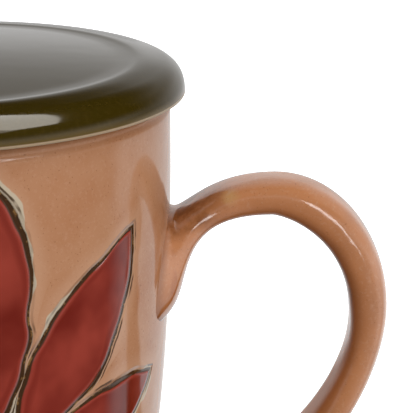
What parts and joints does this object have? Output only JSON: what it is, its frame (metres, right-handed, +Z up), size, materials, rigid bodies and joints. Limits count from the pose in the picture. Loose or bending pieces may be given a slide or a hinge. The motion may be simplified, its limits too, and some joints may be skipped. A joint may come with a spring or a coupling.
{
  "type": "lidded tea mug with infuser",
  "caption": "Stoneware tea mug with a loop handle, a loose domed lid and a hanging perforated steel infuser that lifts out of the mouth.",
  "frame": {"origin": "middle of the foot ring, on the table, on the mug's own axis", "axes": "+Z up along the mug's axis, +X from the axis towards the handle"},
  "size_m": [0.128, 0.0904, 0.108],
  "materials": {
    "body_glaze": "translucent terracotta glaze over pale stoneware",
    "handle_glaze": "translucent terracotta glaze, amber where it pools",
    "lid_glaze": "dark olive brown glaze, amber at its edge",
    "polished_steel": "polished stainless steel",
    "brushed_steel": "perforated stainless sheet"
  },
  "bodies": {
    "mug": {"mug_body": "body_glaze", "handle": "handle_glaze"},
    "infuser": {"infuser_rim": "polished_steel", "infuser_wall": "brushed_steel", "infuser_base": "brushed_steel", "infuser_band": "polished_steel"},
    "lid": {"lid": "lid_glaze"}
  },
  "joints": [
    {"name": "infuser_lift", "type": "slide", "parent": "mug", "child": "infuser", "axis": [0, 0, 1], "range_m": [0, 0.085]},
    {"name": "lid_lift", "type": "slide", "parent": "infuser", "child": "lid", "axis": [0, 0, 1], "range_m": [0, 0.045]}
  ]
}
